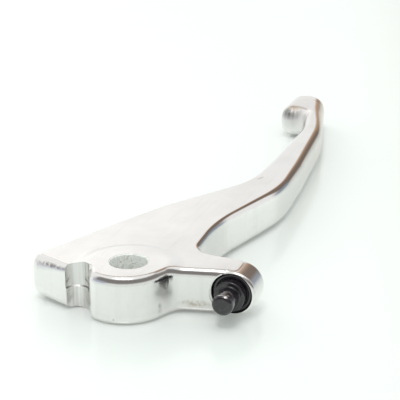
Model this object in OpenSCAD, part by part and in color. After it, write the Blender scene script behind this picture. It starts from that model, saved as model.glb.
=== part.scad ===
// Front brake lever of a motorcycle: one polished alloy casting with a pivot bore,
// a short arm that holds the black pusher for the master cylinder piston, and a long
// curved blade that ends in a rounded knob. The pivot axis is the Z axis, +Y runs
// from the pivot to the knob, and Z = 0 is the middle of the casting's thickness.

/* [Pivot boss] */
// Bore for the pivot bolt
pivot_bore_d = 10; // [6:0.5:12]
// Chamfer at each mouth of the bore
pivot_chamfer = 0.3; // [0.1:0.1:0.8]
// Radius of the casting's wall around the bore
boss_wall_r = 12.1; // [11:0.1:14]
// Diameter of each machined boss face
boss_face_d = 21.6; // [18:0.2:23]
// Height of each boss face above the casting's flat
boss_face_h = 0.6; // [0.3:0.1:1]
// Width of the slope around each boss face
boss_slope = 1; // [0.5:0.1:2]

/* [Casting] */
// Thickness of the casting between its two flats
body_t = 12; // [11:0.1:14]
// Edge rounding of the head and the short arm
head_edge_r = 1.5; // [0.8:0.1:2]
// Edge rounding at the outer tip of the head
tip_edge_r = 2.5; // [1.5:0.1:2.7]
// Edge rounding of the blade at mid length
blade_edge_r = 2.6; // [1.5:0.1:3]
// Edge rounding of the knob
knob_edge_r = 4.2; // [3:0.1:5]

/* [Head] */
// Distance of the end face from the pivot axis
end_face_dist = 11.1; // [10:0.1:12]
// Slope of the end face from the X axis
end_face_angle = -17.5; // [-20:0.5:-15]
// Distance of the front face from the pivot axis
front_face_dist = 24.9; // [22:0.1:26]
// Slope of the front face from the Y axis
front_face_angle = 22; // [20:0.5:24]
// Plan rounding of the corner between end face and front face
head_corner_r = 3.1; // [3:0.1:5]

/* [Groove] */
// Radius of the half-round groove in the end face
groove_r = 3.4; // [2:0.1:4]
// Place of the groove along the end face, from the pivot axis
groove_offset = 8.9; // [8:0.1:11]
// Depth of the groove's axis below the end face
groove_sink = 0.75; // [0:0.05:1.5]
// Direction of the groove's open side next to the boss, from the X axis
groove_mouth_angle = -64; // [-68:1:-60]

/* [Blade] */
// Distance from the pivot axis to the middle of the knob
reach = 183; // [160:1:200]
// Distance from the pivot axis to the shoulder where the lever narrows
shoulder_y = 46; // [42:0.5:50]
// Right edge of the lever above the short arm
waist_x = 12.2; // [11.5:0.1:14]
// Distance from the pivot axis to the start of the blade
blade_start = 74; // [70:0.5:80]
// Middle of the blade at its start, across the lever
blade_x = 15.4; // [13:0.1:17]
// Width of the blade at its start
blade_w = 13; // [11:0.1:15]
// Middle of the blade at its bend
bend_x = 15.1; // [13:0.1:16]
// Width of the blade at its bend
bend_w = 11.2; // [10:0.1:13]
// Middle of the blade at the neck of the knob
neck_x = 12.9; // [11:0.1:14]
// Width of the blade at the neck of the knob
neck_w = 8.1; // [7:0.1:10]

/* [Knob] */
// Width of the knob across the lever
knob_w = 14.6; // [13:0.2:18]
// Length of the knob along the lever
knob_len = 25; // [22:0.5:28]
// Root of the notch between knob and blade, across the lever
notch_x = 3.5; // [2:0.1:5]
// Plan rounding of the notch
notch_r = 4.4; // [3:0.1:5]

/* [Short arm and pusher] */
// Distance of the pusher axis from the pivot axis
pusher_x = 27; // [25:0.5:32]
// Place of the machined face around the pusher
pusher_face_y = 3.2; // [2.6:0.1:4]
// Width of the short arm
arm_w = 10; // [9:0.1:12]
// Wall around the pusher bore at its mouth
pusher_wall = 0.35; // [0.3:0.05:0.4]
// Offset of the rounded arm end from the pusher axis
arm_end_offset = 0.4; // [0.3:0.1:1]
// Diameter of the pusher bore
pusher_bore_d = 10.8; // [9.4:0.1:11]
// Depth of the pusher bore
pusher_bore_depth = 6; // [4:0.1:7]
// Diameter of the pusher's collar
collar_d = 8.2; // [7:0.1:8.6]
// Length of the pusher's collar beyond the machined face
collar_len = 2.2; // [1:0.1:4]
// Diameter of the pusher's nose
nose_d = 5.6; // [4.5:0.1:6]
// Length of the pusher's nose beyond the machined face
nose_len = 8.3; // [6:0.1:10]

/* [Hidden] */
$fn = 64;

round_steps = 5;      // facets across each edge rounding
arc_chord = 3;        // longest chord on the outline's arcs
arc_turn = 9;         // largest turn between outline points, in degrees
line_chord = 12;      // longest chord on the outline's straight runs
fit = 0.02;           // clearance around the pusher in its bore
cut = 1;              // how far cutters run past what they cut

boss_r = boss_face_d / 2;
boss_t = body_t + 2 * boss_face_h;
arm_far_y = pusher_face_y + arm_w;
arm_end_r = body_t / 2 - 0.05;
arm_end_x = pusher_x + arm_end_offset + 1.9;
pusher_mouth_r = pusher_bore_d / 2 + pusher_wall;
knob_near_y = reach - knob_len / 2;
knob_far_y = reach + knob_len / 2;
neck_y = knob_near_y - 25;
bend_y = blade_start + 0.38 * (neck_y - blade_start);

// Unit vectors along and out of the end face and the front face
end_dir = [cos(end_face_angle), sin(end_face_angle)];
end_out = [sin(end_face_angle), -cos(end_face_angle)];
front_dir = [sin(front_face_angle), cos(front_face_angle)];
front_out = [-cos(front_face_angle), sin(front_face_angle)];

function cross2(a, b) = a[0] * b[1] - a[1] * b[0];
function unit(v) = v / norm(v);

// Crossing of the line through p along u with the line through q along v
function crossing(p, u, q, v) = p + u * cross2(q - p, v) / cross2(u, v);

// Directions in which the wall around the bore starts and ends
boss_from = 249;
boss_to = 333;
boss_mid = (boss_from + boss_to) / 2;
boss_corner = boss_wall_r / cos((boss_to - boss_from) / 2);

// Places on the end face and the front face
end_foot = end_out * end_face_dist;
front_foot = front_out * front_face_dist;
tip = crossing(end_foot, end_dir, front_foot, front_dir);
shoulder = crossing([0, shoulder_y], [1, 0], front_foot, front_dir);

// Axis of the groove, and the open side of its mouth, which runs out to a rounded lip on the boss
groove_at = end_foot - end_out * groove_sink - end_dir * groove_offset;
mouth_dir = [cos(groove_mouth_angle), sin(groove_mouth_angle)];
mouth_root = groove_at + 0.94 * groove_r * [-mouth_dir[1], mouth_dir[0]];
groove_lip = crossing(mouth_root, mouth_dir,
    boss_wall_r * [cos(boss_from), sin(boss_from)], [-sin(boss_from), cos(boss_from)]);

// Outline corners anticlockwise from the head's tip: [place, plan radius]
corners = [
    [tip, head_corner_r],
    [end_foot - end_dir * (groove_offset + 0.3), 2],
    [mouth_root, 1.5],
    [groove_lip, 2.5],
    [boss_corner * [cos(boss_mid), sin(boss_mid)], boss_wall_r],
    [[boss_wall_r + 0.3, 0.6], 5],
    [[pusher_x - 5, pusher_face_y - 0.7], 14],
    [[arm_end_x, pusher_face_y + 0.4], 2.2],
    [[arm_end_x, arm_far_y - 0.4], 4],
    [[waist_x + 1.3, arm_far_y + 1.3], 6],
    [[waist_x, arm_far_y + 24], 60],
    [[blade_x + blade_w / 2, blade_start], 34],
    [[bend_x + bend_w / 2, bend_y], 80],
    [[neck_x + neck_w / 2, neck_y], 110],
    [[knob_w / 2 - 0.4, knob_far_y - 3], 9],
    [[1, knob_far_y + 1.4], 7],
    [[0.3 - knob_w / 2, knob_far_y - 1.4], 6],
    [[0.9 - knob_w / 2, knob_near_y - 1.5], 4.8],
    [[notch_x, knob_near_y + 0.2], notch_r],
    [[neck_x - neck_w / 2, neck_y], 60],
    [[bend_x - bend_w / 2, bend_y], 60],
    [[blade_x - blade_w / 2, blade_start + 3], 30],
    [shoulder, 30]
];

count = len(corners);
function corner(i) = corners[(i + count) % count];

// Points of one rounded corner, each [x, y, x of normal, y of normal]
function corner_arc(i) =
    let (
        p = corner(i)[0],
        r = corner(i)[1],
        back = unit(corner(i - 1)[0] - p),
        ahead = unit(corner(i + 1)[0] - p),
        turn = 180 - acos(back * ahead),
        side = sign(cross2(ahead, back)),
        start = p + back * r * tan(turn / 2),
        inward = side * [back[1], -back[0]],
        centre = start + r * inward,
        n = max(2, ceil(turn / arc_turn), ceil(r * turn * PI / 180 / arc_chord)),
        from = atan2(-inward[1], -inward[0])
    )
    [for (k = [0:n])
        let (a = from + side * turn * k / n, out = [cos(a), sin(a)])
        [centre[0] + r * out[0], centre[1] + r * out[1], side * out[0], side * out[1]]];

rounded = [for (i = [0:count - 1]) each corner_arc(i)];

// The straight runs are divided so that the edge rounding can change along them
outline = [for (i = [0:len(rounded) - 1])
    let (a = rounded[i], b = rounded[(i + 1) % len(rounded)],
        n = ceil(norm([b[0] - a[0], b[1] - a[1]]) / line_chord))
    each [for (k = [0:n - 1]) a + (b - a) * k / n]];

// Edge rounding at each place along the lever
function edge_r(p) = lookup(p[1], [
        [blade_start - 30, head_edge_r],
        [bend_y, blade_edge_r],
        [neck_y + 11, blade_edge_r + 0.4],
        [knob_near_y + 3, knob_edge_r]])
    + lookup(p[0], [
        [tip[0] + 4, tip_edge_r - head_edge_r],
        [tip[0] + 11, 0]]);

// One ring of the casting's skin at an angle up the edge rounding, on the side dir
function ring(dir, angle, past = 0) = [for (p = outline)
    let (e = edge_r(p), inset = e * (1 - cos(angle)))
    [p[0] - p[2] * inset, p[1] - p[3] * inset, dir * (body_t / 2 - e + e * sin(angle) + past)]];

// Closed skin through a stack of rings, with flat ends
module skin(rings) {
    n = len(rings[0]);
    m = len(rings);
    polyhedron(
        points = [for (r = rings) each r],
        faces = [
            [for (i = [0:n - 1]) i],
            [for (i = [0:n - 1]) n * m - 1 - i],
            for (k = [0:m - 2], i = [0:n - 1])
                let (a = n * k + i, b = n * k + (i + 1) % n)
                each [[a, a + n, b], [b, a + n, b + n]]
        ],
        convexity = 6);
}

// The skin runs past both flats and the slab trims it to the casting's thickness
module casting() {
    angles = [for (k = [0:round_steps]) 90 * k / round_steps];
    intersection() {
        skin([
            ring(-1, 90, cut),
            for (k = [0:round_steps]) ring(-1, angles[round_steps - k]),
            for (k = [0:round_steps]) ring(1, angles[k]),
            ring(1, 90, cut)
        ]);
        cube([4 * reach, 4 * reach, body_t], center = true);
    }
}

// Both raised boss faces in one turned piece
module boss() {
    rotate_extrude()
        polygon([
            [0, -boss_t / 2],
            [boss_r - boss_slope, -boss_t / 2],
            [boss_r, -body_t / 2 + 0.2],
            [boss_r, body_t / 2 - 0.2],
            [boss_r - boss_slope, boss_t / 2],
            [0, boss_t / 2]
        ]);
}

// Moves a piece drawn along +Z so that it runs from the pusher's face into the arm
module at_pusher() {
    translate([pusher_x, pusher_face_y, 0])
    rotate([-90, 0, 0])
        children();
}

// Half-round end of the arm, turned about the pusher's direction
module arm_end() {
    len = arm_w - 0.3;
    near = 0.9;
    far = 2.2;
    translate([arm_end_offset, 0, 0])
    at_pusher()
    rotate_extrude()
        polygon([
            [0, 0],
            for (a = [0:18:90]) [arm_end_r - near * (1 - sin(a)), near * (1 - cos(a))],
            for (a = [0:18:90]) [arm_end_r - far * (1 - cos(a)), len - far * (1 - sin(a))],
            [0, len]
        ]);
}

module groove() {
    translate(groove_at)
        cylinder(r = groove_r, h = body_t + 2 * cut, center = true);
}

// Bore for the pivot bolt, chamfered at both mouths
module pivot_bore() {
    cylinder(d = pivot_bore_d, h = boss_t + 2 * cut, center = true);
    for (side = [0, 180])
        rotate([side, 0, 0])
        translate([0, 0, boss_t / 2 - pivot_chamfer])
            cylinder(d1 = pivot_bore_d, d2 = pivot_bore_d + 4 * pivot_chamfer, h = 2 * pivot_chamfer);
}

// Spot face in front of the pusher boss, with the blind bore behind it
module pusher_bore() {
    at_pusher() {
        translate([0, 0, -3])
            cylinder(r = pusher_mouth_r + 0.1, h = 3);
        translate([0, 0, -cut])
            cylinder(d = pusher_bore_d, h = pusher_bore_depth + cut);
    }
}

module lever() {
    color("silver")
    difference() {
        union() {
            casting();
            boss();
            arm_end();
        }
        pivot_bore();
        groove();
        pusher_bore();
    }
}

// Black stepped pusher: base in the bore, collar, and a nose with a rounded end
module pusher() {
    base_d = pusher_bore_d - 2 * fit;
    edge = 0.35;
    dome = 1.1;
    nose_r = nose_d / 2;
    color("black")
    at_pusher()
    rotate_extrude()
        polygon([
            [0, pusher_bore_depth],
            [base_d / 2, pusher_bore_depth],
            [base_d / 2, 0.8],
            [base_d / 2 - 0.3, 0.5],
            [collar_d / 2, 0.5],
            [collar_d / 2, edge - collar_len],
            [collar_d / 2 - edge, -collar_len],
            [nose_r, -collar_len],
            for (a = [0:15:90])
                [nose_r - dome * (1 - cos(a)), dome - nose_len - dome * sin(a)],
            [0, -nose_len]
        ]);
}

lever();
pusher();
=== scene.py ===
# Front brake lever of a motorcycle on a pale table: a polished casting and its black pusher.
# All sizes are millimetres, as in the CAD model, and MM turns them into metres. Directions are
# the CAD model's: Z along the pivot bore, +Y towards the knob and +X towards the pusher's arm.
import math

import bmesh
import bpy
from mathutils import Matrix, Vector
from mathutils.geometry import delaunay_2d_cdt


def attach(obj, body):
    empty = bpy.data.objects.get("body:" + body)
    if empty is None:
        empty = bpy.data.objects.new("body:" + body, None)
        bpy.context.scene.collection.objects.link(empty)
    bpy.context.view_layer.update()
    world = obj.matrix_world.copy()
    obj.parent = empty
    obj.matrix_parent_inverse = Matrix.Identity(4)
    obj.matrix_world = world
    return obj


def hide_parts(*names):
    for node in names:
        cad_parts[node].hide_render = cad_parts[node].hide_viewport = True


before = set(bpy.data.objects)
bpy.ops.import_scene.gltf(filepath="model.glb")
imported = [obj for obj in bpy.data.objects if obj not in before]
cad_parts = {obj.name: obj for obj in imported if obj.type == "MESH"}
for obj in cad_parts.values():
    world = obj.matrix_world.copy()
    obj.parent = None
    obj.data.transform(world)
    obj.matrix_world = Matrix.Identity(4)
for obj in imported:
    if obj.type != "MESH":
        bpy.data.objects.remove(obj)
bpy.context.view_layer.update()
scene = bpy.context.scene

MM = 0.001

# ---------------------------------------------------------------- sizes of the lever
BORE_R = 5.0
BORE_CHAMFER = 0.3
BODY_T = 12.0
BOSS_T = 13.2
BOSS_FACE_R, BOSS_SKIRT_R = 10.2, 14.6
BOSS_WALL_R = 12.1
HEAD_EDGE, TIP_EDGE, BLADE_EDGE, KNOB_EDGE = 1.5, 2.5, 2.6, 4.2
END_DIST, END_ANGLE = 11.1, math.radians(-17.5)
FRONT_DIST, FRONT_ANGLE = 24.9, math.radians(22)
GROOVE_R, GROOVE_OFFSET, GROOVE_SINK = 3.4, 8.9, 0.75
MOUTH_ANGLE = math.radians(-64)
MOUTH_SHARE = 0.94  # the mouth's wall leaves the groove at this share of its radius
REACH, KNOB_W, KNOB_LEN = 183.0, 14.6, 25.0
NECK_LEN = 25
BLADE_START = 74.0
BEND_SHARE = 0.38  # the blade bends at this share of the way to the neck
INSET = 0.03  # keeps the smooth skin inside the CAD model's faceted box
ARM_END_INSET = 0.06  # the same for the rounded arm end
PUSHER_X, PUSHER_Y, ARM_W = 27.0, 3.2, 10.0
PUSHER_BORE_R, PUSHER_BORE_DEPTH, PUSHER_WALL = 5.4, 6.0, 0.35
ARM_END_OFFSET, ARM_END_REACH = 0.4, 1.9
COLLAR_R, COLLAR_LEN = 4.1, 2.2
NOSE_R, NOSE_LEN = 2.8, 8.3

ARM_FAR_Y = PUSHER_Y + ARM_W
ARM_END_R = BODY_T / 2 - ARM_END_INSET
ARM_END_X = PUSHER_X + ARM_END_OFFSET + ARM_END_REACH
MOUTH_R = PUSHER_BORE_R + PUSHER_WALL
KNOB_NEAR, KNOB_FAR = REACH - KNOB_LEN / 2, REACH + KNOB_LEN / 2
NECK_Y = KNOB_NEAR - NECK_LEN
BEND_Y = BLADE_START + BEND_SHARE * (NECK_Y - BLADE_START)


def vec(angle, length=1.0):
    return Vector((math.cos(angle), math.sin(angle))) * length


def cross2(a, b):
    return a[0] * b[1] - a[1] * b[0]


def crossing(p, u, q, v):
    """Where the line through p along u meets the line through q along v."""
    return p + u * (cross2(q - p, v) / cross2(u, v))


# The head's end face and front face, each a line at a distance from the bore's axis.
END_DIR = vec(END_ANGLE)
END_OUT = Vector((math.sin(END_ANGLE), -math.cos(END_ANGLE)))
FRONT_DIR = Vector((math.sin(FRONT_ANGLE), math.cos(FRONT_ANGLE)))
FRONT_OUT = Vector((-math.cos(FRONT_ANGLE), math.sin(FRONT_ANGLE)))
END_FOOT, FRONT_FOOT = END_OUT * END_DIST, FRONT_OUT * FRONT_DIST
TIP = crossing(END_FOOT, END_DIR, FRONT_FOOT, FRONT_DIR)

# The groove in the end face, and the straight wall that opens it towards the boss.
GROOVE_AT = END_FOOT - END_OUT * GROOVE_SINK - END_DIR * GROOVE_OFFSET
MOUTH_DIR = vec(MOUTH_ANGLE)
MOUTH_ROOT = GROOVE_AT + Vector((-MOUTH_DIR[1], MOUTH_DIR[0])) * MOUTH_SHARE * GROOVE_R
BOSS_FROM, BOSS_TO = math.radians(249), math.radians(333)
GROOVE_LIP = crossing(MOUTH_ROOT, MOUTH_DIR,
                      vec(BOSS_FROM, BOSS_WALL_R), vec(BOSS_FROM + math.pi / 2))


# ---------------------------------------------------------------- outline of the casting
def corners():
    """Outline corners anticlockwise from the head's tip: place and plan radius."""
    boss_corner = BOSS_WALL_R / math.cos((BOSS_TO - BOSS_FROM) / 2)
    return [
        # head: tip, end face up to the groove's middle, groove's wall, lip, round the boss
        (TIP, 3.1),
        (END_FOOT - END_DIR * (GROOVE_OFFSET + 0.3), 2),
        (MOUTH_ROOT, 1.5),
        (GROOVE_LIP, 2.5),
        (vec((BOSS_FROM + BOSS_TO) / 2, boss_corner), BOSS_WALL_R),
        # arm: near side out to its end, and back to the crook
        (Vector((BOSS_WALL_R + 0.3, 0.6)), 5),
        (Vector((PUSHER_X - 5, PUSHER_Y - 0.7)), 14),
        (Vector((ARM_END_X, PUSHER_Y + 0.4)), 2.2),
        (Vector((ARM_END_X, ARM_FAR_Y - 0.4)), 4),
        (Vector((13.5, ARM_FAR_Y + 1.3)), 6),
        # blade, out to the knob
        (Vector((12.2, ARM_FAR_Y + 24)), 60),
        (Vector((21.9, BLADE_START)), 62),
        (Vector((20.7, BEND_Y)), 80),
        (Vector((16.95, NECK_Y)), 110),
        # knob: end, hook and notch
        (Vector((KNOB_W / 2 - 0.4, KNOB_FAR - 3)), 9),
        (Vector((1, KNOB_FAR + 1.4)), 7),
        (Vector((0.3 - KNOB_W / 2, KNOB_FAR - 1.4)), 6),
        (Vector((0.9 - KNOB_W / 2, KNOB_NEAR - 1.5)), 4.8),
        (Vector((3.5, KNOB_NEAR + 0.2)), 4.4),
        # blade, back to the head's front face
        (Vector((8.85, NECK_Y)), 60),
        (Vector((9.5, BEND_Y)), 60),
        (Vector((8.9, BLADE_START + 3)), 36),
        (crossing(Vector((0, 46)), Vector((1, 0)), FRONT_FOOT, FRONT_DIR), 30),
    ]


def outline(turn_step=math.radians(3), chord=1.6, run=4.0):
    """Points round the casting, each a place and an outward normal."""
    cs = corners()
    arcs = []
    for i, (p, r) in enumerate(cs):
        back = (cs[i - 1][0] - p).normalized()
        ahead = (cs[(i + 1) % len(cs)][0] - p).normalized()
        turn = math.pi - math.acos(max(-1, min(1, back.dot(ahead))))
        side = 1 if cross2(ahead, back) > 0 else -1
        inward = side * Vector((back[1], -back[0]))
        centre = p + back * r * math.tan(turn / 2) + inward * r
        n = max(3, math.ceil(turn / turn_step), math.ceil(r * turn / chord))
        start = math.atan2(-inward[1], -inward[0])
        for k in range(n + 1):
            out = vec(start + side * turn * k / n)
            arcs.append((centre + out * r, out * side))
    points = []
    for i, (a, na) in enumerate(arcs):
        b, nb = arcs[(i + 1) % len(arcs)]
        n = max(1, math.ceil((b - a).length / run))
        for k in range(n):
            points.append((a.lerp(b, k / n), na.lerp(nb, k / n).normalized()))
    return points


def lookup(x, stops):
    """Value at x on straight runs between stops, level beyond them."""
    if x <= stops[0][0]:
        return stops[0][1]
    for (x0, v0), (x1, v1) in zip(stops, stops[1:]):
        if x <= x1:
            return v0 + (v1 - v0) * (x - x0) / (x1 - x0)
    return stops[-1][1]


def edge_r(p):
    """Edge rounding at each place along the lever."""
    along = [(BLADE_START - 30, HEAD_EDGE), (BEND_Y, BLADE_EDGE),
             (NECK_Y + 11, BLADE_EDGE + 0.4), (KNOB_NEAR + 3, KNOB_EDGE)]
    near_tip = [(TIP[0] + 4, TIP_EDGE - HEAD_EDGE), (TIP[0] + 11, 0)]
    return lookup(p[1], along) + lookup(p[0], near_tip)


def edge_rise(p):
    """How much taller than wide the edge rounding is at each place."""
    return lookup(p[1], [(BLADE_START - 44, 1.6), (BLADE_START, 1.25),
                         (NECK_Y, 1.25), (KNOB_NEAR, 1.35)])


# ---------------------------------------------------------------- mesh helpers
def new_object(name, data):
    obj = bpy.data.objects.new(name, data)
    scene.collection.objects.link(obj)
    return obj


def mesh_object(name, verts, faces):
    mesh = bpy.data.meshes.new(name)
    mesh.from_pydata([Vector(v) * MM for v in verts], [], faces)
    bm = bmesh.new()
    bm.from_mesh(mesh)
    bmesh.ops.recalc_face_normals(bm, faces=bm.faces)
    bm.to_mesh(mesh)
    bm.free()
    return new_object(name, mesh)


def lathe(name, profile, place=lambda p: p, steps=96):
    """Closed solid turned about Z from a profile of (radius, height), then put in place."""
    verts, faces, rings = [], [], []
    for r, h in profile:
        if r < 1e-6:
            rings.append([len(verts)] * steps)
            verts.append(place(Vector((0, 0, h))))
        else:
            rings.append(list(range(len(verts), len(verts) + steps)))
            verts += [place(Vector((r * math.cos(a), r * math.sin(a), h)))
                      for a in (2 * math.pi * k / steps for k in range(steps))]
    for a, b in zip(rings, rings[1:]):
        for k in range(steps):
            quad = [a[k], a[(k + 1) % steps], b[(k + 1) % steps], b[k]]
            quad = list(dict.fromkeys(quad))
            if len(quad) > 2:
                faces.append(quad)
    return mesh_object(name, verts, faces)


def at_groove(p):
    """Moves what is turned about the bore's axis to the groove's axis."""
    return p + Vector((*GROOVE_AT, 0))


def at_pusher(p):
    """Turns +Z into the direction that runs from the pusher's face into the arm."""
    return Vector((PUSHER_X + p[0], PUSHER_Y + p[2], -p[1]))


def at_arm_end(p):
    """As for the pusher, but about the axis of the arm's round end, a little further out."""
    return at_pusher(p) + Vector((ARM_END_OFFSET, 0, 0))


def combine(target, other, operation):
    """Adds the other object to the target or cuts it out, and deletes it."""
    mod = target.modifiers.new(operation, "BOOLEAN")
    mod.operation = operation
    mod.object = other
    mod.solver = "EXACT"
    depsgraph = bpy.context.evaluated_depsgraph_get()
    mesh = bpy.data.meshes.new_from_object(target.evaluated_get(depsgraph))
    target.modifiers.remove(mod)
    target.data = mesh
    bpy.data.objects.remove(other)


def smooth(obj, sharp_degrees, weight=90):
    """Smooth shading that breaks at sharper edges and leans towards the large faces' normals."""
    obj.data.shade_smooth()
    obj.data.set_sharp_from_angle(angle=math.radians(sharp_degrees))
    mod = obj.modifiers.new("normals", "WEIGHTED_NORMAL")
    mod.keep_sharp = True
    mod.weight = weight


# ---------------------------------------------------------------- the casting
def half_t(x, y):
    """Half thickness of the casting: the boss rises gently above the flats."""
    t = min(1, max(0, (BOSS_SKIRT_R - math.hypot(x, y)) / (BOSS_SKIRT_R - BOSS_FACE_R)))
    return (BODY_T + (BOSS_T - BODY_T) * t * t * (3 - 2 * t)) / 2


def casting(steps=14, first_ring=BORE_R + 0.5, ring_gap=0.55, ring_count=18):
    """Skin through rings that follow the edge rounding, closed by two gently raised flats."""
    points = outline()
    n = len(points)
    levels = [(-1, 90 - 90 * k / steps) for k in range(steps + 1)]
    levels += [(1, 90 * k / steps) for k in range(steps + 1)]
    verts = []
    for side, degrees in levels:
        a = math.radians(degrees)
        for p, out in points:
            e = edge_r(p)
            q = p - out * (INSET + e * (1 - math.cos(a)))
            drop = e * edge_rise(p) * (1 - math.sin(a))
            verts.append((q[0], q[1], side * (half_t(q[0], q[1]) - drop)))
    faces = []
    for k in range(len(levels) - 1):
        for i in range(n):
            j = (i + 1) % n
            faces.append([n * k + i, n * k + j, n * (k + 1) + j, n * (k + 1) + i])
    rim = [Vector(v[:2]) for v in verts[-n:]]
    # Rings of points round the bore let the flats follow the boss's rise.
    inner = [vec(math.radians(6 * i), first_ring + ring_gap * k)
             for k in range(ring_count) for i in range(60)]
    inside_only, tolerance = 1, 1e-5
    flat, _, triangles, origins, _, _ = delaunay_2d_cdt(
        rim + inner, [], [list(range(n))], inside_only, tolerance)
    for base, side in ((0, -1), (n * (len(levels) - 1), 1)):
        index = {}
        for i, origin in enumerate(origins):
            edge = [o for o in origin if o < n]
            if edge:
                index[i] = base + edge[0]
            else:
                index[i] = len(verts)
                verts.append((flat[i][0], flat[i][1], side * half_t(*flat[i])))
        faces += [[index[i] for i in t] for t in triangles]
    return mesh_object("lever_casting", verts, faces)


def arm_end_profile(near=0.9, far=2.2, length=ARM_W - 0.3):
    """Barrel along the arm end: its near end is rounded a little, its far end more."""
    arc = [math.radians(a) for a in range(0, 91, 9)]
    return ([(0, 0)]
            + [(ARM_END_R - near * (1 - math.sin(a)), near * (1 - math.cos(a))) for a in arc]
            + [(ARM_END_R - far * (1 - math.cos(a)), length - far * (1 - math.sin(a))) for a in arc]
            + [(0, length)])


def bore_profile(radius=BORE_R, chamfer=BORE_CHAMFER, half=BOSS_T / 2):
    """A through cutter with a chamfer at both mouths."""
    wide = radius + 2 * chamfer
    return [(0, half + chamfer), (wide, half + chamfer), (radius, half - chamfer),
            (radius, chamfer - half), (wide, -half - chamfer), (0, -half - chamfer)]


def groove_profile(half=9, ledge_top=-0.15, ledge_foot=-0.5, ledge=0.28, ledge_at_end=0.22):
    """A through cutter that steps in half way down, where two cuts meet in the real groove."""
    return [(0, half), (GROOVE_R, half), (GROOVE_R, ledge_top), (GROOVE_R - ledge, ledge_foot),
            (GROOVE_R - ledge_at_end, -half), (0, -half)]


def pusher_bore_profile(front=-3, beyond_mouth=0.1, chamfer=0.15):
    """Clears the arm's face round the pusher and cuts its blind bore."""
    mouth = MOUTH_R + beyond_mouth
    return [(0, front), (mouth, front), (mouth, 0), (PUSHER_BORE_R + chamfer, 0),
            (PUSHER_BORE_R, chamfer), (PUSHER_BORE_R, PUSHER_BORE_DEPTH), (0, PUSHER_BORE_DEPTH)]


lever = casting()
combine(lever, lathe("arm_end", arm_end_profile(), at_arm_end), "UNION")
combine(lever, lathe("bore_cutter", bore_profile(), steps=128), "DIFFERENCE")
combine(lever, lathe("groove_cutter", groove_profile(), at_groove), "DIFFERENCE")
combine(lever, lathe("pusher_cutter", pusher_bore_profile(), at_pusher), "DIFFERENCE")
smooth(lever, 32)


# ---------------------------------------------------------------- the pusher
def rounded(points, radius, steps=5):
    """Rounds the inner corners of an open profile with small curves."""
    out = [points[0]]
    for a, b, c in zip(points, points[1:], points[2:]):
        a, b, c = Vector(a), Vector(b), Vector(c)
        u, v = (a - b), (c - b)
        r = min(radius, u.length * 0.45, v.length * 0.45)
        p, q = b + u.normalized() * r, b + v.normalized() * r
        for k in range(steps + 1):
            t = k / steps
            out.append(tuple(p * (1 - t) ** 2 + b * 2 * t * (1 - t) + q * t ** 2))
    return out + [points[-1]]


def pusher_profile(clearance=0.02, nose_rounding=1.1, step_rounding=0.35):
    """From the bore's bottom over the seat, its face, a fine groove and the collar to the nose."""
    base = PUSHER_BORE_R - clearance
    dome = [(NOSE_R - nose_rounding * (1 - math.cos(a)),
             nose_rounding - NOSE_LEN - nose_rounding * math.sin(a))
            for a in (math.radians(d) for d in range(0, 91, 10))]
    steps = [
        (0, PUSHER_BORE_DEPTH), (base, PUSHER_BORE_DEPTH), (base, 0.85), (base - 0.25, 0.5),
        (base - 0.6, 0.4), (COLLAR_R + 0.3, 0.42), (COLLAR_R + 0.12, 0.8), (COLLAR_R, 0.8),
        (COLLAR_R, -COLLAR_LEN), (NOSE_R + 0.2, -COLLAR_LEN), (NOSE_R, -COLLAR_LEN - 0.3)]
    return rounded(steps + dome[:1], step_rounding) + dome[1:] + [(0, -NOSE_LEN)]


pusher = lathe("pusher_body", pusher_profile(), at_pusher)
smooth(pusher, 40)


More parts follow.
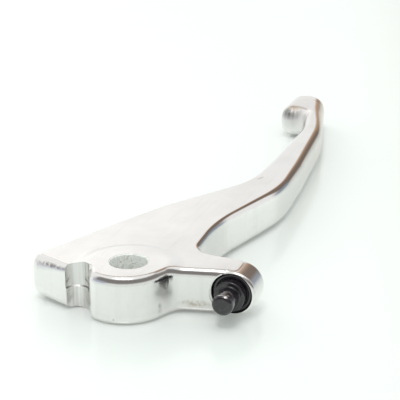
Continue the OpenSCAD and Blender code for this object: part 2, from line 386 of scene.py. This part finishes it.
# ---------------------------------------------------------------- materials
class Tree:
    """Short ways to add nodes to the node tree of a material or of the world."""

    def __init__(self, tree):
        self.nodes, self.links = tree.nodes, tree.links

    def fill(self, node, inputs):
        """Puts numbers, colours or the outputs of other nodes into a node's inputs."""
        for key, value in inputs.items():
            if isinstance(value, bpy.types.NodeSocket):
                self.links.new(value, node.inputs[key])
            else:
                node.inputs[key].default_value = value
        return node

    def new(self, kind, inputs=None, **settings):
        """A shader node of a kind, with its settings made and its inputs filled."""
        node = self.nodes.new("ShaderNode" + kind)
        for name, value in settings.items():
            setattr(node, name, value)
        return self.fill(node, inputs or {})

    def noise(self, coords, scale, stretch=(1, 1, 1), detail=4):
        """Noise that is drawn out along the axes where stretch is small."""
        mapped = self.new("Mapping", {"Vector": coords, "Scale": stretch}).outputs["Vector"]
        return self.new("TexNoise", {"Vector": mapped, "Scale": scale, "Detail": detail,
                                     "Roughness": 0.55}).outputs["Fac"]

    def remap(self, value, from_min, from_max, to_min=0, to_max=1):
        """Turns one range into another and stops at its ends."""
        return self.new("MapRange", {"Value": value, "From Min": from_min, "From Max": from_max,
                                     "To Min": to_min, "To Max": to_max}).outputs["Result"]

    def times(self, a, b):
        return self.new("Math", {0: a, 1: b}, operation="MULTIPLY", use_clamp=True).outputs[0]

    def plus(self, a, b):
        return self.new("Math", {0: a, 1: b}, operation="ADD", use_clamp=True).outputs[0]

    def mix(self, factor, a, b):
        """Colour a where the factor is 0, and b where it is 1."""
        a, b = ((*c, 1) if isinstance(c, tuple) else c for c in (a, b))
        return self.new("Mix", {"Factor": factor, 6: a, 7: b}, data_type="RGBA").outputs[2]

    def bump(self, height, strength, depth, below=None):
        """Normal of a relief this many millimetres deep, laid over the relief below."""
        inputs = {"Height": height, "Strength": strength, "Distance": depth * MM}
        if below is not None:
            inputs["Normal"] = below
        return self.new("Bump", inputs).outputs["Normal"]

    def spot(self, coords, centre, radii, soft=0.5, turn=0):
        """Mask that is 1 at a place in millimetres and falls to 0 at its radii, turned about Z."""
        mapped = self.new("Mapping", {
            "Vector": coords, "Location": [c * MM for c in centre],
            "Rotation": (0, 0, math.radians(turn)), "Scale": [r * MM for r in radii],
        }, vector_type="TEXTURE")
        distance = self.new("VectorMath", {0: mapped.outputs["Vector"]}, operation="LENGTH")
        return self.remap(distance.outputs["Value"], 1 - soft, 1, 1, 0)


def material(name):
    mat = bpy.data.materials.new(name)
    mat.use_nodes = True
    return mat, Tree(mat.node_tree)


# Marks and painted reflections on the casting: pattern, centre, radii, turn in degrees,
# how solid it is, and its colour. Later rows lie over earlier ones.
MARKS_AND_PAINTED_REFLECTIONS = [
    ("specks", (10.3, -3.9, 4.6), (1.4, 1.7, 1.6), 0, 0.35, (0.26, 0.25, 0.24)),
    ("specks", (11.2, -2.3, 3.4), (0.8, 1.0, 0.7), 0, 0.5, (0.42, 0.41, 0.39)),
    ("specks", (10.3, -4.4, -3.4), (0.8, 0.9, 2.2), 0, 0.8, (0.34, 0.35, 0.32)),
    ("specks", (11.5, -2.2, 1.6), (2.2, 2.6, 0.25), 8, 0.6, (0.50, 0.50, 0.47)),
    ("specks", (11.5, -2.2, 0.1), (2.0, 2.4, 0.2), -6, 0.6, (0.52, 0.52, 0.50)),
    ("specks", (0.4, -11.9, -4.9), (0.5, 0.8, 0.5), 0, 0.7, (0.35, 0.35, 0.33)),
    ("specks", (17.7, 1.6, -3.5), (5.0, 2.0, 1.3), 10, 0.8, (0.50, 0.45, 0.37)),
    ("specks", (12.3, 80.0, 6.0), (0.9, 2.4, 1.0), -12, 0.5, (0.50, 0.30, 0.24)),
    # A speckled dark line along the end face's top rounding.
    ("specks", (-21.0, -4.7, 4.7), (7.5, 0.9, 0.9), -17.5, 0.75, (0.20, 0.18, 0.17)),
    # Painted reflections on the knob's front: a dark band, and above it a tan highlight.
    ("streaks", (-2.6, 171.2, 4.0), (6.0, 3.4, 3.4), 0, 0.95, (0.22, 0.22, 0.215)),
    ("streaks", (-1.0, 173.0, 5.6), (4.5, 3.4, 1.6), 0, 0.6, (0.66, 0.54, 0.42)),
    # A painted dark reflection on the knob's far rounding.
    ("specks", (5.6, 185.4, 5.6), (3.0, 1.6, 1.4), -20, 0.6, (0.30, 0.30, 0.30)),
]


def polished_alloy(through=400):
    """Bright brushed alloy with marks and painted reflections, scored in the groove, rough and pale
    in the bore.
    """
    mat, tree = material("polished_alloy")
    coordinates = tree.new("TexCoord").outputs
    coords = coordinates["Object"]
    lines = tree.noise(coords, 1500, (1, 0.03, 0.5), 3)
    cloud = tree.noise(coords, 70, detail=5)
    waves = tree.noise(coords, 90, (1, 0.35, 0.6), 2)
    grain = tree.noise(coords, 2600, detail=3)
    scores = tree.noise(coords, 1300, (1, 1, 0.015), 3)
    streaks = tree.noise(coords, 650, (1, 1, 0.04), 4)
    specks = tree.noise(coords, 1100, detail=4)
    upright = tree.noise(coords, 900, (1, 0.2, 0.12), 2)
    patterns = {"specks": tree.remap(specks, 0.36, 0.6),
                "streaks": tree.remap(upright, 0.3, 0.6, 0.35, 1)}

    # Where things are: the flats, the walls, the bore, the groove, the knob's front, the arm's end.
    facing = tree.new("SeparateXYZ", {0: coordinates["Normal"]}).outputs["Z"]
    upward = tree.new("Math", {0: facing}, operation="ABSOLUTE").outputs[0]
    flat = tree.remap(upward, 0.985, 1.0)
    side = tree.remap(upward, 0.1, 0.5, 1, 0)
    bore = tree.spot(coords, (0, 0, 0), (BORE_R + 0.35, BORE_R + 0.35, through), 0.02)
    groove = tree.spot(coords, (*GROOVE_AT, 0), (GROOVE_R + 0.1, GROOVE_R + 0.1, through), 0.02)
    knob_front = tree.spot(coords, (-1.5, 168, 2), (9, 8, 9), 0.4)
    arm_end = tree.spot(coords, (32, 8, 5), (6, 7, 9), 0.5)
    along = tree.new("SeparateXYZ", {0: coords}).outputs["Y"]

    tint = tree.mix(tree.remap(cloud, 0.35, 0.7), (0.885, 0.877, 0.862), (0.84, 0.832, 0.816))
    tint = tree.mix(tree.remap(lines, 0.55, 0.8, 0, 0.3), tint, (0.68, 0.67, 0.65))
    wall_streaks = tree.times(side, tree.remap(streaks, 0.5, 0.75, 0, 0.3))
    tint = tree.mix(wall_streaks, tint, (0.72, 0.725, 0.70))
    tint = tree.mix(bore, tint, (0.97, 0.965, 0.955))
    speckle = tree.times(bore, tree.remap(grain, 0.5, 0.6, 0, 0.8))
    tint = tree.mix(speckle, tint, (0.58, 0.55, 0.51))
    scored = tree.times(groove, tree.remap(scores, 0.35, 0.65, 0, 0.65))
    tint = tree.mix(scored, tint, (0.56, 0.55, 0.54))
    # Marks and painted reflections are laid over the tint, each broken up by its pattern.
    for pattern, centre, radii, turn, strength, colour in MARKS_AND_PAINTED_REFLECTIONS:
        mark_or_painted_reflection = tree.times(tree.spot(coords, centre, radii, 0.7, turn), patterns[pattern])
        tint = tree.mix(tree.times(mark_or_painted_reflection, strength), tint, colour)

    rough = tree.remap(cloud, 0.3, 0.75, 0.11, 0.18)
    for more in (tree.times(flat, 0.08), tree.remap(along, 130 * MM, 170 * MM, 0, 0.05),
                 tree.times(knob_front, 0.34), tree.times(arm_end, 0.1),
                 tree.times(groove, 0.08), tree.times(bore, 0.25)):
        rough = tree.plus(rough, more)

    normal = tree.bump(waves, 0.35, 0.12)
    normal = tree.bump(tree.times(streaks, side), 0.35, 0.05, normal)
    normal = tree.bump(lines, 0.1, 0.02, normal)
    normal = tree.bump(tree.times(bore, grain), 0.6, 0.2, normal)

    tree.fill(tree.nodes["Principled BSDF"], {
        "Base Color": tint, "Metallic": tree.remap(bore, 0, 1, 1, 0),
        "Roughness": rough, "Normal": normal})
    return mat


# Bright metal spots painted on the pusher's nose as glints, a painted highlight: centre, radii and
# strength.
GLINT_SPOTS = [
    ((27.9, -4.4, 2.4), (0.6, 0.5, 0.6), 1),
    ((28.3, -3.5, 2.5), (0.4, 0.3, 0.5), 0.7),
    ((26.6, -4.3, 2.7), (1.1, 0.22, 0.5), 0.7),
]


def black_pusher():
    """Glossy black with dust and fine marks along it, and bright metal spots painted on its nose as
    glints.
    """
    mat, tree = material("black_pusher")
    coords = tree.new("TexCoord").outputs["Object"]
    dust = tree.noise(coords, 900, detail=5)
    fine = tree.noise(coords, 500, (1, 0.1, 1), 3)
    colour = tree.mix(tree.remap(dust, 0.5, 0.8), (0.013, 0.010, 0.014), (0.040, 0.035, 0.042))
    glint = 0
    # Painted highlights: bright metal spots on the nose, placed where glints show.
    for centre, radii, strength in GLINT_SPOTS:
        glint = tree.plus(glint, tree.times(tree.spot(coords, centre, radii, 0.6), strength))
    normal = tree.bump(fine, 0.25, 0.05)
    tree.fill(tree.nodes["Principled BSDF"], {
        "Base Color": tree.mix(glint, colour, (0.80, 0.76, 0.78)), "Metallic": glint,
        "Roughness": tree.remap(fine, 0.3, 0.75, 0.07, 0.16), "IOR": 1.5,
        "Coat Weight": 0.6, "Coat Roughness": 0.05, "Normal": tree.bump(dust, 0.15, 0.03, normal)})
    return mat


def table_top(white_share=0.1):
    """Pale glossy table. A share of what the camera and mirrors see of it is plain white."""
    mat, tree = material("table_top")
    cloud = tree.noise(tree.new("TexCoord").outputs["Object"], 9, detail=3)
    shader = tree.fill(tree.nodes["Principled BSDF"], {
        "Base Color": tree.mix(cloud, (0.965, 0.975, 0.965), (0.945, 0.96, 0.947)),
        "Roughness": tree.remap(cloud, 0.3, 0.7, 0.14, 0.22), "IOR": 1.5})
    rays = tree.new("LightPath").outputs
    seen = tree.plus(rays["Is Camera Ray"], rays["Is Glossy Ray"])
    seen = tree.plus(seen, rays["Is Transmission Ray"])
    white = tree.new("Emission", {"Color": (0.97, 0.98, 0.97, 1)})
    both = tree.new("MixShader", {
        0: tree.times(seen, white_share), 1: shader.outputs[0], 2: white.outputs[0]})
    tree.fill(tree.nodes["Material Output"], {"Surface": both.outputs[0]})
    return mat


lever.data.materials.clear()
lever.data.materials.append(polished_alloy())
pusher.data.materials.clear()
pusher.data.materials.append(black_pusher())

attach(lever, "root")
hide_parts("lever")
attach(pusher, "root")
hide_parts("pusher")


# ---------------------------------------------------------------- table
TABLE_HALF, TABLE_Z = 3000, -BOSS_T / 2
floor = mesh_object("table", [(x * TABLE_HALF, y * TABLE_HALF, TABLE_Z)
                              for x, y in ((-1, -1), (1, -1), (1, 1), (-1, 1))], [[0, 1, 2, 3]])
floor.data.materials.append(table_top())


# ---------------------------------------------------------------- what the metal mirrors
# Rows of centre azimuth and elevation, half widths and soft edge, all in degrees, and colour.
# Azimuth 0 is +Y and 90 is +X. Later rows lie over earlier ones.
PATCHES = [
    (-36, 26, 8, 8, 15, (1.17, 1.16, 1.14)),  # window
    (172, 66, 30, 5, 5, (5.0, 4.95, 4.8)),  # strip lamp
    (2, 42, 38, 7, 6, (0.36, 0.27, 0.21)),  # brown band, high
    (15, 22, 17, 18, 8, (0.46, 0.30, 0.20)),  # brown area behind the lever
    (19, 20, 11, 15, 8, (0.19, 0.15, 0.125)),  # its dark middle
    (31, 4, 7, 5, 7, (0.27, 0.31, 0.37)),  # blue-grey, low
    (150, 26, 84, 13, 14, (0.22, 0.21, 0.20)),  # dark room on the camera's side
    (226, 4, 14, 5, 7, (0.45, 0.47, 0.58)),  # blue-grey, low
]
PLAIN_ROOM = (0.93, 0.935, 0.93)


def bearing(azimuth, elevation):
    """Unit vector towards an azimuth and elevation in degrees."""
    az, el = math.radians(azimuth), math.radians(elevation)
    return Vector((math.sin(az) * math.cos(el), math.cos(az) * math.cos(el), math.sin(el)))


def room(azimuth, elevation):
    """Colour of the surroundings at a bearing."""
    colour = Vector(PLAIN_ROOM)
    narrowing = math.cos(math.radians(elevation))
    for az, el, half_az, half_el, soft, patch in PATCHES:
        off_az = max(0, abs((azimuth - az + 180) % 360 - 180) - half_az) * narrowing
        off_el = max(0, abs(elevation - el) - half_el)
        t = max(0, 1 - math.hypot(off_az, off_el) / soft)
        colour = colour.lerp(Vector(patch), t * t * (3 - 2 * t))
    return colour


def studio(radius=2500, step=2, lowest=-2, highest=89.9):
    """Painted dome round the table that is seen only in glossy reflections."""
    verts, faces, colours = [], [], []
    turns, rises = 360 // step, (90 - lowest) // step
    for k in range(rises + 1):
        elevation = lowest + k * step
        for i in range(turns):
            verts.append(bearing(i * step, min(elevation, highest)) * radius)
            colours.append(room(i * step, elevation))
    for k in range(rises):
        for i in range(turns):
            j = (i + 1) % turns
            faces.append([k * turns + i, k * turns + j, (k + 1) * turns + j, (k + 1) * turns + i])
    dome = mesh_object("studio_dome", verts, faces)
    paint = dome.data.attributes.new("paint", "FLOAT_COLOR", "POINT")
    for value, colour in zip(paint.data, colours):
        value.color = (*colour, 1)
    mat, tree = material("studio_dome")
    tree.nodes.clear()
    painted = tree.new("Attribute", attribute_name="paint").outputs["Color"]
    tree.new("OutputMaterial", {"Surface": tree.new("Emission", {"Color": painted}).outputs[0]})
    dome.data.materials.append(mat)
    for way in ("camera", "diffuse", "shadow", "transmission"):
        setattr(dome, "visible_" + way, False)


studio()


# ---------------------------------------------------------------- light
LIGHTS_AIM = Vector((0, 60, 0))


def area(name, azimuth, elevation, distance, width, height, radiance, colour, mirrored=False):
    """Soft box at a bearing, aimed at the lever. Its power follows from its brightness."""
    light = bpy.data.lights.new(name, "AREA")
    light.shape = "RECTANGLE"
    light.size, light.size_y = width * MM, height * MM
    light.energy = radiance * math.pi * light.size * light.size_y
    light.color = colour
    obj = new_object(name, light)
    obj.visible_glossy = mirrored
    way = bearing(azimuth, elevation)
    obj.location = (way * distance + LIGHTS_AIM) * MM
    obj.rotation_euler = way.to_track_quat("Z", "Y").to_euler()


area("window", -52, 27, 1300, 1100, 500, 1.5, (1.0, 0.99, 0.98))
area("ceiling", 0, 88, 1200, 420, 420, 2.4, (1.0, 1.0, 1.0))
area("lamp_a", 172, 66, 1200, 40, 40, 220, (1.0, 0.99, 0.97), mirrored=True)
area("lamp_b", 196, 72, 1200, 40, 40, 140, (1.0, 0.99, 0.97), mirrored=True)

world = bpy.data.worlds.new("studio")
scene.world = world
world.use_nodes = True
sky = Tree(world.node_tree)
seen_directly = sky.new("LightPath").outputs["Is Camera Ray"]
sky.fill(sky.nodes["Background"], {
    "Color": sky.mix(seen_directly, (0.79, 0.865, 0.825), (0.97, 0.97, 0.97))})


# ---------------------------------------------------------------- camera, fitted to the photograph
CAMERA_AT, CAMERA_WAY = (104.7, -243.0, 115.3), (-0.3121, 0.8913, -0.3288)
camera_data = bpy.data.cameras.new("camera")
camera_data.lens = 99.0
camera_data.sensor_width = 36.0
camera = new_object("camera", camera_data)
camera.location = Vector(CAMERA_AT) * MM
camera.rotation_euler = Vector(CAMERA_WAY).to_track_quat("-Z", "Y").to_euler()
scene.camera = camera
scene.view_settings.view_transform = "Standard"
